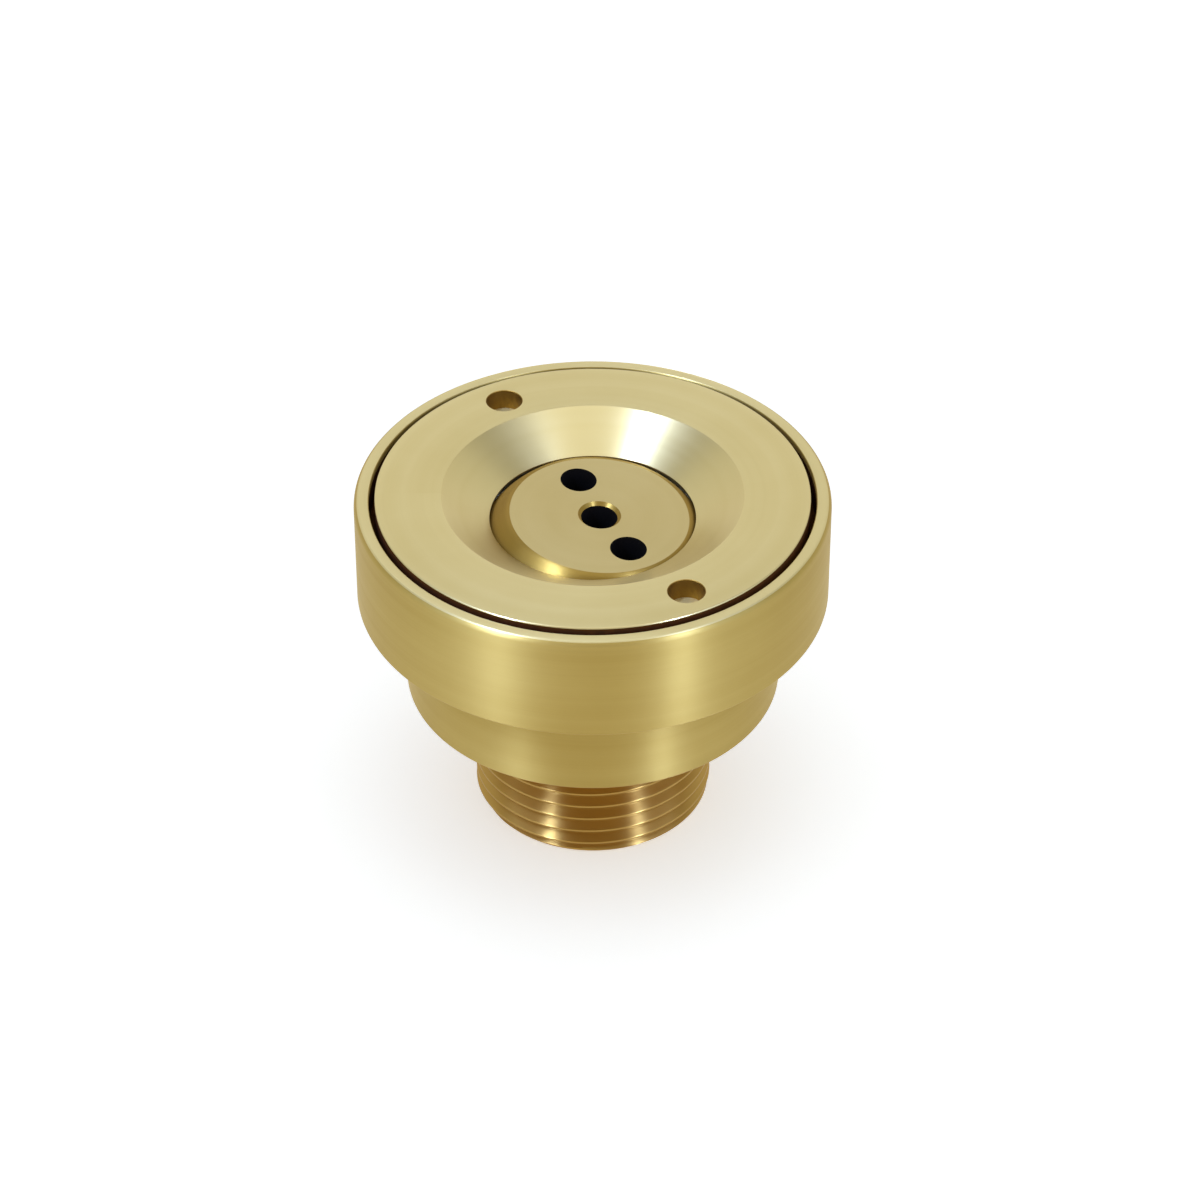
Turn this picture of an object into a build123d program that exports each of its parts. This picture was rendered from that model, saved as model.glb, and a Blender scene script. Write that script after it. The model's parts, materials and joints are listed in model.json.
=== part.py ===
"""Pressure-regulating outlet head: a turned brass body on a male pipe thread, with a swivelling
three-port ball held by a screwed retaining ring, and a pressure-limiting cartridge in the nipple.

The axis is Z. The origin is the centre of the nipple's inlet end, which the head stands on.
Lengths are millimetres, angles degrees.
"""
import os
from math import cos, pi, radians, sin, sqrt, tan

from build123d import *

# --- Clearances -----------------------------------------------------------------------------
running_gap = 0.05          # radial, between turned parts that move on each other
seat_gap = 0.05             # between the ball and its spherical seats
drop_in_gap = 0.10          # radial, round pieces that drop into a bore

# --- Body -----------------------------------------------------------------------------------
thread_r = 16.6             # major radius of the straight one-inch pipe thread
thread_pitch = 25.4 / 11.5
thread_depth = 1.44
thread_crest = 0.25         # flat on the crest
thread_flank_angle = 30.0   # each flank, from square to the axis
thread_lead_chamfer = 1.2
thread_bite = 0.1           # how far the ridge is let into the nipple's wall
thread_start = 0.66         # turns below the inlet end that the ridge sets out from
nipple_length = 20.6
nipple_wall = 2.56          # under the thread's root
step_r = 26.0
step_floor = 1.172          # brass between the step's underside and the pocket under the ball
head_r = 32.5
head_height = 15.5
rim_wall = 2.05
rim_round = 0.8
rim_inner_round = 0.2
edge_break = 0.4            # small rounds on the body's other outer edges
shoulder_thickness = 1.6    # ledge over the cartridge, which the regulator piston stops on
shoulder_catch = 1.05       # how far the shoulder laps over the piston's head
ring_thread_step = 1.1      # from the rim's bore in to the bore that the ring screws into
ring_floor_gap = 0.4        # open under the retaining ring's bottom face
ring_head_floor_gap = 0.5   # open under the ring's head

# --- Retaining ring -------------------------------------------------------------------------
ring_stands_proud = 0.4
ring_edge_gap = 0.8         # the open gap round the ring's head
ring_edge_round = 0.2
ring_depth = 11.4           # overall, top face to bottom face
ring_head_depth = 4.4
dish_top_r = 20.6
lip_gap = 0.55              # open gap between the mouth's lip and the ball
dish_depth = 4.15
lip_land = 0.15
spanner_pcd = 50.0
spanner_hole_r = 2.5
spanner_hole_depth = 3.0
spanner_azimuth = 119.6

# --- Ball -----------------------------------------------------------------------------------
ball_r = 18.0
ball_below_lip = 11.85      # ball centre under the lip
ball_face_r = 12.7          # where the flat face would meet the sphere
ball_face_round = 1.0
ball_foot_angle = 55.0      # where the foot is cut off, from straight down
ball_foot_wall = 3.74       # brass round the cavity's mouth
ball_face_plate = 7.75      # brass between the face and the cavity
ball_rest_tilt = 4.8
ball_rest_azimuth = -30.0   # the way that the face leans at rest
ball_tilt_limit = 10.0
port_r = 2.5
port_spacing = 7.9
port_azimuths = (111.4, -60.3)
port_chamfer = 0.45

# --- Ball seats -----------------------------------------------------------------------------
seat_section = 2.5          # seats' outer wall outside the ball's widest point
seat_wall = 0.9             # carrier between the lower seat and its seal groove
upper_seat_angle = 60.8     # top edge of the upper seat, from straight up
upper_seat_height = 4.4
lower_seat_angle = 65.0     # bottom edge of the lower seat, from straight down
lower_seat_height = 3.6
carrier_floor = 2.0         # carrier under the lower seat
carrier_bore_clearance = 0.25
wave_spring_height = 1.5
wave_spring_thickness = 0.5
wave_spring_width = 3.4
wave_count = 3
ball_floor_clearance = 0.5  # under the ball's foot at full tilt
pocket_clearance = 1.0      # beside the ball's foot

# --- Seal rings: radius of the cord -----------------------------------------------------------
ring_seal_r = 0.9
ring_seal_inset = 1.8       # from the retaining ring's bottom face
carrier_seal_r = 0.8
cartridge_seal_r = 0.6
piston_seal_r = 0.65
stem_seal_r = 0.75

# --- Regulator cartridge ----------------------------------------------------------------------
circlip_inset = 1.0         # inlet end to the circlip
circlip_thickness = 1.0
circlip_groove_depth = 0.6
circlip_band = 1.9
circlip_gap_angle = 46.0
circlip_eye_r = 1.45
circlip_eye_hole_r = 0.6
screen_thickness = 0.5
screen_rim = 1.6
screen_hole_r = 0.6
screen_hole_pitch = 1.75
spider_height = 2.8
spider_arm_width = 1.8
spider_arms = 4
spider_hub_step = 0.9       # hub and arms stop this far under the rim's top
hub_wall = 0.4              # round the valve disc
disc_lap = 0.2              # valve disc past the stem
disc_thickness = 1.0
seat_screw_head_r = 2.2
seat_screw_head_height = 0.9
seat_screw_shank_r = 1.1
seat_screw_slot = 0.6
valve_lift = 1.5            # piston travel from open to shut
stem_r = 5.0
stem_wall = 1.4
sleeve_wall = 1.9
piston_head_height = 2.6
piston_mouth_bevel = 1.5
piston_lip = 0.5            # flat on the stem's sealing lip
stem_stand_out = 0.4        # stem below its gland when the valve is open
sleeve_bulkhead = 2.5
stem_seal_space = 1.6
gland_washer_thickness = 0.5
spring_wire_r = 0.6
spring_coils = 3.3

# --- Levels, from the inlet end up ------------------------------------------------------------
ball_face_height = sqrt(ball_r**2 - ball_face_r**2)
ball_foot_drop = ball_r * cos(radians(ball_foot_angle))
ball_foot_r = ball_r * sin(radians(ball_foot_angle))
ball_sweep_drop = ball_r * cos(radians(ball_foot_angle - ball_tilt_limit))
step_z = nipple_length
pocket_floor_z = step_z + step_floor
cartridge_top_z = pocket_floor_z - shoulder_thickness
ball_z = pocket_floor_z + ball_floor_clearance + ball_sweep_drop
lip_z = ball_z + ball_below_lip
ring_top_z = lip_z + dish_depth
ring_head_z = ring_top_z - ring_head_depth
ring_bottom_z = ring_top_z - ring_depth
rim_z = ring_top_z - ring_stands_proud
counterbore_z = ring_head_z - ring_head_floor_gap
ring_ledge_z = ring_bottom_z - ring_floor_gap
head_z = rim_z - head_height
upper_seat_top_z = ball_z + ball_r * cos(radians(upper_seat_angle))
lower_seat_z = ball_z - ball_r * cos(radians(lower_seat_angle))
carrier_z = lower_seat_z - carrier_floor
carrier_top_z = lower_seat_z + lower_seat_height
spring_floor_z = carrier_z - wave_spring_height
circlip_z = circlip_inset
screen_z = circlip_z + circlip_thickness
spider_z = screen_z + screen_thickness
sleeve_z = spider_z + spider_height
disc_top_z = sleeve_z - spider_hub_step
stem_z = disc_top_z + valve_lift
gland_z = stem_z + stem_stand_out
stem_seal_z = gland_z + gland_washer_thickness
bulkhead_z = stem_seal_z + stem_seal_space
spring_z = bulkhead_z + sleeve_bulkhead
piston_head_z = cartridge_top_z - piston_head_height


def ball_reach(level, radius=ball_r):
    """Distance from the axis to the ball, or a sphere round its centre, at a level."""
    return sqrt(radius**2 - (level - ball_z) ** 2)


# --- Radii and seal levels that follow --------------------------------------------------------
rim_bore_r = head_r - rim_wall
ring_thread_r = rim_bore_r - ring_thread_step
nipple_bore_r = thread_r - thread_depth - nipple_wall
lip_r = ball_reach(lip_z) + lip_gap
ball_cavity_r = ball_foot_r - ball_foot_wall
pocket_r = ball_reach(spring_floor_z) + pocket_clearance
ring_body_r = ring_thread_r - running_gap
ring_seal_centre_r = ring_body_r - ring_seal_r
ring_seal_level = ring_bottom_z + ring_seal_inset
ring_groove_r = ring_seal_centre_r - ring_seal_r - running_gap
seat_outer_r = ball_r + seat_section
carrier_groove_r = seat_outer_r + seat_wall
carrier_seal_centre_r = carrier_groove_r + carrier_seal_r
carrier_bore_r = carrier_seal_centre_r + carrier_seal_r
carrier_seal_level = (lower_seat_z + carrier_top_z) / 2
sleeve_r = nipple_bore_r - drop_in_gap
sleeve_bore_r = sleeve_r - sleeve_wall
piston_r = sleeve_bore_r - running_gap
shoulder_bore_r = piston_r - shoulder_catch
stem_bore_r = stem_r - stem_wall
disc_r = stem_r + disc_lap
hub_r = disc_r + hub_wall
cartridge_seal_centre_r = nipple_bore_r - cartridge_seal_r
cartridge_groove_r = cartridge_seal_centre_r - cartridge_seal_r
cartridge_seal_levels = (bulkhead_z + sleeve_bulkhead / 2, piston_head_z)
piston_seal_centre_r = piston_r - piston_seal_r
piston_groove_r = piston_seal_centre_r - piston_seal_r
piston_seal_level = piston_head_z + piston_head_height / 2
stem_seal_centre_r = stem_r + running_gap + stem_seal_r
gland_r = stem_seal_centre_r + stem_seal_r
spring_r = (stem_r + sleeve_bore_r) / 2


# --- Shared shapes ----------------------------------------------------------------------------
def turned(*outline):
    """Revolve a closed outline about the axis. A corner is (radius, height) or, for a rounded
    one, (radius, height, round)."""
    face = make_face(Plane.XZ * Polyline(*[corner[:2] for corner in outline], close=True))
    for corner in outline:
        if len(corner) == 3:
            place = Vector(corner[0], 0, corner[1])
            vertex = face.vertices().sort_by_distance(place)[0]
            face = fillet(vertex, corner[2])
    return revolve(face, Axis.Z)


def drum(radius, bottom, top):
    """A plain cylinder about the axis between two levels."""
    return Pos(0, 0, bottom) * Cylinder(radius, top - bottom, align=(Align.CENTER, Align.CENTER, Align.MIN))


def washer(inner, outer, bottom, top):
    """A flat ring about the axis between two levels."""
    return turned((inner, bottom), (outer, bottom), (outer, top), (inner, top))


def seal_ring(centre_r, level, cord_r):
    """A round-section seal ring about the axis."""
    return Pos(0, 0, level) * Torus(centre_r, cord_r)


def coil(radius, wire_r, bottom, top, turns):
    """A compression spring with ends ground flat at two levels."""
    reach = top - bottom
    path = Helix((reach - wire_r) / turns, reach + wire_r, radius)
    section = Plane(path @ 0, z_dir=path % 0) * Circle(wire_r)
    wire = Pos(0, 0, bottom - wire_r / 2) * sweep(section, path, is_frenet=True)
    return wire & drum(radius + 2 * wire_r, bottom, top)


def around(radius, azimuth):
    """A place at a radius and azimuth from the axis."""
    return Pos(radius * cos(radians(azimuth)), radius * sin(radians(azimuth)), 0)


# --- Body -------------------------------------------------------------------------------------
def thread_ridge():
    """The thread's right-hand ridge, trimmed to the nipple's length and lead chamfer. It goes a
    little deeper than the root, to join the nipple's wall."""
    root_r = thread_r - thread_depth
    lean = tan(radians(thread_flank_angle))
    foot_r = root_r - thread_bite
    foot = thread_crest / 2 + (thread_depth + thread_bite) * lean
    section = Plane.XZ * Polyline((foot_r, -foot), (thread_r, -thread_crest / 2),
                                  (thread_r, thread_crest / 2), (foot_r, foot), close=True)
    turns = nipple_length / thread_pitch + 2 * thread_start
    ridge = sweep(make_face(section), Helix(thread_pitch, turns * thread_pitch, root_r), is_frenet=True)
    inside_r = foot_r - thread_bite
    outside_r = thread_r + thread_lead_chamfer
    envelope = turned((inside_r, 0), (thread_r - thread_lead_chamfer, 0), (outside_r, 2 * thread_lead_chamfer),
                      (outside_r, step_z), (inside_r, step_z))
    return Pos(0, 0, -thread_start * thread_pitch) * ridge & envelope


def nipple():
    """The threaded nipple as far as the step."""
    return washer(nipple_bore_r, thread_r - thread_depth, 0, step_z) + thread_ridge()


def body():
    """Nipple, step and head in one turned piece, bored from both ends."""
    step_and_head = turned(
        (nipple_bore_r, step_z),
        (step_r, step_z, edge_break),
        (step_r, head_z),
        (head_r, head_z, edge_break),
        (head_r, rim_z, rim_round),
        (rim_bore_r, rim_z, rim_inner_round),
        (rim_bore_r, counterbore_z),
        (ring_thread_r, counterbore_z),
        (ring_thread_r, ring_ledge_z),
        (carrier_bore_r, ring_ledge_z),
        (carrier_bore_r, spring_floor_z),
        (pocket_r, spring_floor_z),
        (pocket_r, pocket_floor_z),
        (shoulder_bore_r, pocket_floor_z),
        (shoulder_bore_r, cartridge_top_z),
        (nipple_bore_r, cartridge_top_z),
    )
    groove_r = nipple_bore_r + circlip_groove_depth
    return step_and_head + nipple() - drum(groove_r, circlip_z, circlip_z + circlip_thickness)


# --- Retaining ring and ball --------------------------------------------------------------------
def retaining_ring():
    """Screwed cover with a dished mouth, two blind spanner holes, a seal groove and a recess that
    holds the upper ball seat."""
    head_outer_r = rim_bore_r - ring_edge_gap
    ring = turned(
        (0, ring_bottom_z),
        (ring_body_r, ring_bottom_z, edge_break),
        (ring_body_r, ring_head_z),
        (head_outer_r, ring_head_z),
        (head_outer_r, ring_top_z, ring_edge_round),
        (0, ring_top_z),
    )
    dish = turned((0, lip_z + lip_land), (lip_r, lip_z + lip_land), (dish_top_r, ring_top_z), (0, ring_top_z))
    relief_r = sqrt(lip_r**2 + ball_below_lip**2)
    relief = Pos(0, 0, ball_z) * Sphere(relief_r) & drum(relief_r, ring_bottom_z, lip_z)
    mouth = drum(lip_r, lip_z, lip_z + lip_land)
    recess = drum(seat_outer_r + running_gap, ring_bottom_z, upper_seat_top_z + running_gap)
    groove_half = ring_seal_r + running_gap
    groove = washer(ring_groove_r, head_r, ring_seal_level - groove_half, ring_seal_level + groove_half)
    ring = ring - dish - relief - mouth - recess - groove
    for turn in (0, 180):
        floor = ring_top_z - spanner_hole_depth
        ring -= around(spanner_pcd / 2, spanner_azimuth + turn) * drum(spanner_hole_r, floor, ring_top_z)
    return ring


def ball_at_rest(shape):
    """Lean a shape, made upright about the axis, with the ball at rest."""
    across = radians(ball_rest_azimuth + 90)
    return shape.rotate(Axis((0, 0, ball_z), (cos(across), sin(across), 0)), ball_rest_tilt)


def swivel_ball():
    """Ball with a flat three-port face, open from below."""
    face_z = ball_z + ball_face_height
    ball = Pos(0, 0, ball_z) * Sphere(ball_r) & drum(ball_r, ball_z - ball_foot_drop, face_z)
    rim = ball.edges().filter_by(GeomType.CIRCLE).sort_by(Axis.Z)[-1]
    ball = fillet(rim, ball_face_round)
    ball -= drum(ball_cavity_r, ball_z - ball_foot_drop, face_z - ball_face_plate)
    ball -= drum(port_r, ball_z, face_z)
    ball -= Pos(0, 0, face_z - port_chamfer / 2) * Cone(port_r, port_r + port_chamfer, port_chamfer)
    for azimuth in port_azimuths:
        ball -= around(port_spacing, azimuth) * drum(port_r, ball_z, face_z)
    return ball_at_rest(ball)


def ball_seat(bottom, top):
    """A ring round the ball, with a spherical face that the ball turns in."""
    return drum(seat_outer_r, bottom, top) - Pos(0, 0, ball_z) * Sphere(ball_r + seat_gap)


def seat_carrier():
    """Ring that holds the lower seat and slides in the body on its own seal."""
    outer_r = carrier_bore_r - running_gap
    inner_r = ball_reach(lower_seat_z) + carrier_bore_clearance
    ring = washer(inner_r, outer_r, carrier_z, carrier_top_z)
    rebate = drum(seat_outer_r, lower_seat_z, carrier_top_z)
    groove = washer(carrier_groove_r, carrier_bore_r, carrier_seal_level - carrier_seal_r,
                    carrier_seal_level + carrier_seal_r)
    return ring - rebate - groove


def wave_spring():
    """Wavy washer that presses the lower seat carrier up against the ball."""
    outer_r = carrier_bore_r - drop_in_gap
    inner_r = outer_r - wave_spring_width
    swing = (wave_spring_height - wave_spring_thickness) / 2
    steps = 8 * wave_count
    level = spring_floor_z + swing

    def rim(radius):
        points = []
        for i in range(steps):
            turn = 2 * pi * i / steps
            height = level + swing * sin(wave_count * turn)
            points.append((radius * cos(turn), radius * sin(turn), height))
        return Spline(*points, periodic=True)

    sheet = Face.make_surface_from_curves(rim(inner_r).edge(), rim(outer_r).edge())
    return extrude(sheet, amount=wave_spring_thickness, dir=(0, 0, 1))


# --- Regulator cartridge --------------------------------------------------------------------------
def cartridge_sleeve():
    """Moulded sleeve: piston bore above, bulkhead for the stem, valve chamber below."""
    sleeve = drum(sleeve_r, sleeve_z, cartridge_top_z)
    sleeve -= drum(sleeve_bore_r, spring_z, cartridge_top_z)
    sleeve -= drum(stem_r + running_gap, sleeve_z, spring_z)
    sleeve -= drum(gland_r, gland_z, bulkhead_z)
    sleeve -= drum(sleeve_bore_r, sleeve_z, gland_z)
    for level in cartridge_seal_levels:
        sleeve -= washer(cartridge_groove_r, sleeve_r, level - cartridge_seal_r, level + cartridge_seal_r)
    return sleeve


def cartridge_seals():
    """The pair of seal rings round the sleeve."""
    seals = [seal_ring(cartridge_seal_centre_r, level, cartridge_seal_r) for level in cartridge_seal_levels]
    return Compound(children=seals)


def piston():
    """Hollow stem with a thin sealing lip below and a grooved head above."""
    bevel = stem_r - stem_bore_r - piston_lip
    shape = turned(
        (stem_bore_r, stem_z),
        (stem_bore_r + piston_lip, stem_z),
        (stem_r, stem_z + bevel / 3),
        (stem_r, piston_head_z),
        (piston_r, piston_head_z),
        (piston_r, cartridge_top_z),
        (stem_bore_r + piston_mouth_bevel, cartridge_top_z),
        (stem_bore_r, cartridge_top_z - piston_mouth_bevel),
    )
    groove = washer(piston_groove_r, piston_r, piston_seal_level - piston_seal_r,
                    piston_seal_level + piston_seal_r)
    return shape - groove


def seat_spider():
    """Rim, arms and hub that hold the valve disc in the middle of the inlet."""
    rim = washer(sleeve_bore_r, sleeve_r, spider_z, sleeve_z)
    hub = drum(hub_r, spider_z, disc_top_z)
    shape = rim + hub
    reach = sleeve_r - sleeve_wall / 2
    for i in range(spider_arms):
        arm = Box(reach, spider_arm_width, spider_height - spider_hub_step,
                  align=(Align.MIN, Align.CENTER, Align.MIN))
        shape += Rot(0, 0, 45 + 360 * i / spider_arms) * Pos(0, 0, spider_z) * arm
    shape -= drum(disc_r, disc_top_z - disc_thickness, disc_top_z)
    return shape - drum(seat_screw_shank_r, spider_z, disc_top_z)


def seat_screw():
    """Slotted screw that clamps the valve disc to the spider's hub."""
    screw = turned(
        (0, spider_z),
        (seat_screw_shank_r, spider_z),
        (seat_screw_shank_r, disc_top_z),
        (seat_screw_head_r, disc_top_z),
        (seat_screw_head_r, disc_top_z + seat_screw_head_height, 0.3),
        (0, disc_top_z + seat_screw_head_height),
    )
    slot_depth = seat_screw_head_height / 2
    slot = Box(3 * seat_screw_head_r, seat_screw_slot, slot_depth, align=(Align.CENTER, Align.CENTER, Align.MAX))
    return screw - Pos(0, 0, disc_top_z + seat_screw_head_height) * slot


def inlet_screen():
    """Round strainer, perforated inside a plain rim."""
    screen = drum(sleeve_r, screen_z, screen_z + screen_thickness)
    field_r = sleeve_r - screen_rim - screen_hole_r
    row_pitch = screen_hole_pitch * sin(radians(60))
    rows = int(field_r // row_pitch)
    holes = []
    for row in range(-rows, rows + 1):
        y = row * row_pitch
        shift = screen_hole_pitch / 2 if row % 2 else 0
        columns = int(field_r // screen_hole_pitch) + 1
        for column in range(-columns, columns + 1):
            x = column * screen_hole_pitch + shift
            if x * x + y * y <= field_r**2:
                holes.append(Pos(x, y, 0) * drum(screen_hole_r, screen_z, screen_z + screen_thickness))
    return screen - holes


def inlet_circlip():
    """Internal snap ring with two eyes, sprung into its groove in the nipple."""
    outer_r = nipple_bore_r + circlip_groove_depth - running_gap
    inner_r = outer_r - circlip_band
    top = circlip_z + circlip_thickness
    half_gap = circlip_gap_angle / 2
    wide = 2 * outer_r
    opening = make_face(Polyline((0, 0), (wide, -wide * tan(radians(half_gap))),
                                 (wide, wide * tan(radians(half_gap))), close=True))
    ring = washer(inner_r, outer_r, circlip_z, top) - Pos(0, 0, circlip_z) * extrude(opening, circlip_thickness)
    for azimuth in (-half_gap, half_gap):
        eye = around(inner_r, azimuth)
        ring = ring + eye * drum(circlip_eye_r, circlip_z, top) - eye * drum(circlip_eye_hole_r, circlip_z, top)
    return ring


# --- Everything, by node name ---------------------------------------------------------------------
nodes = {
    "body": body(),
    "retaining_ring": retaining_ring(),
    "retaining_ring_seal": seal_ring(ring_seal_centre_r, ring_seal_level, ring_seal_r),
    "swivel_ball": swivel_ball(),
    "upper_ball_seat": ball_seat(upper_seat_top_z - upper_seat_height, upper_seat_top_z),
    "lower_ball_seat": ball_seat(lower_seat_z, carrier_top_z),
    "seat_carrier": seat_carrier(),
    "seat_carrier_seal": seal_ring(carrier_seal_centre_r, carrier_seal_level, carrier_seal_r),
    "wave_spring": wave_spring(),
    "cartridge_sleeve": cartridge_sleeve(),
    "cartridge_seals": cartridge_seals(),
    "regulator_piston": piston(),
    "piston_seal": seal_ring(piston_seal_centre_r, piston_seal_level, piston_seal_r),
    "regulator_spring": coil(spring_r, spring_wire_r, spring_z, piston_head_z, spring_coils),
    "stem_seal": seal_ring(stem_seal_centre_r, (stem_seal_z + bulkhead_z) / 2, stem_seal_r),
    "gland_washer": washer(stem_r + drop_in_gap, gland_r, gland_z, stem_seal_z),
    "valve_disc": washer(seat_screw_shank_r, disc_r, disc_top_z - disc_thickness, disc_top_z),
    "seat_spider": seat_spider(),
    "seat_screw": seat_screw(),
    "inlet_screen": inlet_screen(),
    "inlet_circlip": inlet_circlip(),
}

os.makedirs("parts", exist_ok=True)
for name, shape in nodes.items():
    export_step(shape, f"parts/{name}.step")
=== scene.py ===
"""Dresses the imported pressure-regulating outlet head: turned brass outside, and plastic, rubber
and stainless steel inside, on a pale studio floor.

Laid out as an add-on and run as a script. Lengths are metres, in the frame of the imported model:
Z is the head's axis, and the head stands on z = 0. Outlines are (radius, height) pairs.
"""

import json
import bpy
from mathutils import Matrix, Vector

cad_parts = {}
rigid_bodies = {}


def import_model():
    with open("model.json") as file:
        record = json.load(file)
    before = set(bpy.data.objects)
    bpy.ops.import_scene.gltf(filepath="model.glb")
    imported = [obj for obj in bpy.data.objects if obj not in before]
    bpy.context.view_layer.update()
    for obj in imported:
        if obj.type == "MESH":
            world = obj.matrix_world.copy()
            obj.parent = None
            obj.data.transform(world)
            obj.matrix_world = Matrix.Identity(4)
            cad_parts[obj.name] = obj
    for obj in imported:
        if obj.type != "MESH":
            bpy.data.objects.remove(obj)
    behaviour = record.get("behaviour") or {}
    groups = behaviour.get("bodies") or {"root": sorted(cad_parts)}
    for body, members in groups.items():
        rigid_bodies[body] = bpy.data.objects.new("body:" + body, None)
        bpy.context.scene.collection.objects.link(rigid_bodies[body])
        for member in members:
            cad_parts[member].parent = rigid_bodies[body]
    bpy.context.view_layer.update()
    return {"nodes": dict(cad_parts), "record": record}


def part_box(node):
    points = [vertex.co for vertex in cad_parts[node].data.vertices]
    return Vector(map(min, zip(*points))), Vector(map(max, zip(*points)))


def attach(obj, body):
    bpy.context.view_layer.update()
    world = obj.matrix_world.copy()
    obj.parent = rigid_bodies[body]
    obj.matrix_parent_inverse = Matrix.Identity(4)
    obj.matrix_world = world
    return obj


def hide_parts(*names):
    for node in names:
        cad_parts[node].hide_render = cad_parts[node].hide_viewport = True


bl_info = {
    "name": "Pressure Regulating Outlet Head",
    "version": (1, 0, 0),
    "blender": (4, 5, 0),
    "location": "View3D > Sidebar > Outlet Head",
    "description": "Dresses the packed outlet head in turned brass and its inner materials",
    "category": "Add Mesh",
}

from math import acos, atan2, ceil, cos, hypot, pi, radians, sin, sqrt, tan

import bmesh
import bpy
from bpy.props import FloatProperty, PointerProperty, StringProperty
from mathutils import Matrix, Quaternion, Vector

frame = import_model()
nodes = frame["nodes"]
MM = 0.001
NEAR = 0.01 * MM  # how close a face's centre counts as on a radius
HAIR = 0.001 * MM  # how close it counts as on a level

# Roughness of each finish, as a share of the turned side's.
FACED_SHARE = 0.85
RIM_SHARE = 0.9
DISH_SHARE = 0.64
THREAD_SHARE = 0.62


# --- Sizes and finishes ---------------------------------------------------------------------------
def length(name, description, millimetres):
    """A length property with its default in millimetres."""
    return FloatProperty(name=name, description=description, default=millimetres * MM, min=0.0,
                         unit="LENGTH", precision=5)


def angle(name, description, degrees):
    """An angle property with its default in degrees."""
    return FloatProperty(name=name, description=description, default=radians(degrees), subtype="ANGLE")


class HeadSizes(bpy.types.PropertyGroup):
    """Sizes of the three turned pieces that show."""

    thread_radius: length("Thread radius", "Major radius of the nipple's thread", 16.6)
    thread_pitch: length("Thread pitch", "Rise of the right-hand thread in one turn", 25.4 / 11.5)
    thread_depth: length("Thread depth", "From the crest down to the root", 1.44)
    thread_crest: length("Thread crest", "Flat on the crest", 0.25)
    thread_round: length("Thread round", "Round on the edges of crest and root", 0.12)
    thread_lead: length("Thread lead", "Chamfer on the inlet end of the thread", 1.2)
    thread_start: FloatProperty(name="Thread start", default=0.66,
                                description="Turns below the inlet end that the ridge sets out from")
    nipple_length: length("Nipple length", "Inlet end up to the step", 20.6)
    nipple_bore: length("Nipple bore", "Radius of the bore that holds the cartridge", 12.6)
    shoulder: length("Shoulder", "Thickness of the shoulder over the cartridge", 1.6)
    shoulder_bore: length("Shoulder bore", "Radius of the opening in that shoulder", 9.5)
    pocket_radius: length("Pocket radius", "Radius of the pocket under the ball", 15.165)
    step_radius: length("Step radius", "Radius of the step under the head", 26.0)
    head_foot: length("Head foot", "Inlet end up to the underside of the head", 35.1)
    rim_wall: length("Rim wall", "Thickness of the rim round the ring", 2.05)
    rim_round: length("Rim round", "Round on the outer edge of the rim", 0.8)
    edge_break: length("Edge break", "Round on the other outer edges", 0.4)
    ring_gap: length("Ring gap", "Open gap between rim and ring", 0.8)
    # Depth below which the rim's bore is painted dark, as shade.
    bore_above_gap_shade: length("Bright bore", "How far down the rim's bore stays untarnished", 0.9)
    bore_round: length("Bore round", "Round on the inner edge of the rim", 0.2)
    inner_round: length("Inner round", "Round on the inner edges of the inlet end and of the ring's foot", 0.15)
    ring_head: length("Ring head", "Depth of the ring's wide head", 4.4)
    under_head: length("Under head", "Open under the ring's head", 0.5)
    under_ring: length("Under ring", "Open under the ring's bottom face", 0.4)
    thread_step: length("Thread step", "From the rim's bore in to the bore that the ring screws into", 1.1)
    running_gap: length("Running gap", "Between pieces that move on each other", 0.05)
    ring_round: length("Ring round", "Round on the edge of the ring", 0.2)
    dish_radius: length("Dish radius", "Radius of the dish at the ring's face", 20.6)
    dish_depth: length("Dish depth", "Ring's face down to the mouth's lip", 4.15)
    dish_round: length("Dish round", "Round between the dish and the ring's face", 0.5)
    mouth_radius: length("Mouth radius", "Radius of the mouth round the ball", 14.1)
    mouth_lip: length("Mouth lip", "Height of the plain lip round the mouth", 0.15)
    small_round: length("Small round", "Round on the ring's hidden outer edges", 0.1)
    spanner_circle: length("Spanner circle", "Radius that the two spanner holes lie on", 25.0)
    spanner_hole: length("Spanner hole", "Radius of a spanner hole", 2.5)
    spanner_depth: length("Spanner depth", "Depth of a spanner hole", 3.0)
    spanner_edge: length("Spanner edge", "Broken edge of a spanner hole", 0.08)
    spanner_turn: angle("Spanner turn", "Turn of the first spanner hole about the axis", 119.6)
    ball_radius: length("Ball radius", "Radius of the swivel ball", 18.0)
    ball_height: length("Ball height", "Inlet end up to the ball's centre", 35.0)
    face_radius: length("Face radius", "Radius at which face and ball would meet", 12.7)
    face_round: length("Face round", "Round between the ball and its face", 1.0)
    port_radius: length("Port radius", "Radius of each port", 2.5)
    port_spacing: length("Port spacing", "Middle of the face out to each outer port", 7.9)
    port_chamfer: length("Port chamfer", "Chamfer on the middle port", 0.45)
    back_port_turn: angle("Back port turn", "Turn of the back port about the ball's axis", 111.4)
    front_port_turn: angle("Front port turn", "Turn of the front port about the ball's axis", -60.3)
    ball_lean: angle("Ball lean", "How far the ball's face leans at rest", 4.8)
    ball_lean_way: angle("Ball lean way", "Turn about the head's axis that the face leans towards", -30.0)
    ball_foot: angle("Ball foot", "Angle from the ball's top to its cut-off foot", 125.0)
    cavity_radius: length("Cavity radius", "Radius of the hollow inside the ball", 11.0)
    face_plate: length("Face plate", "Brass between the ball's face and the hollow", 7.75)


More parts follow.
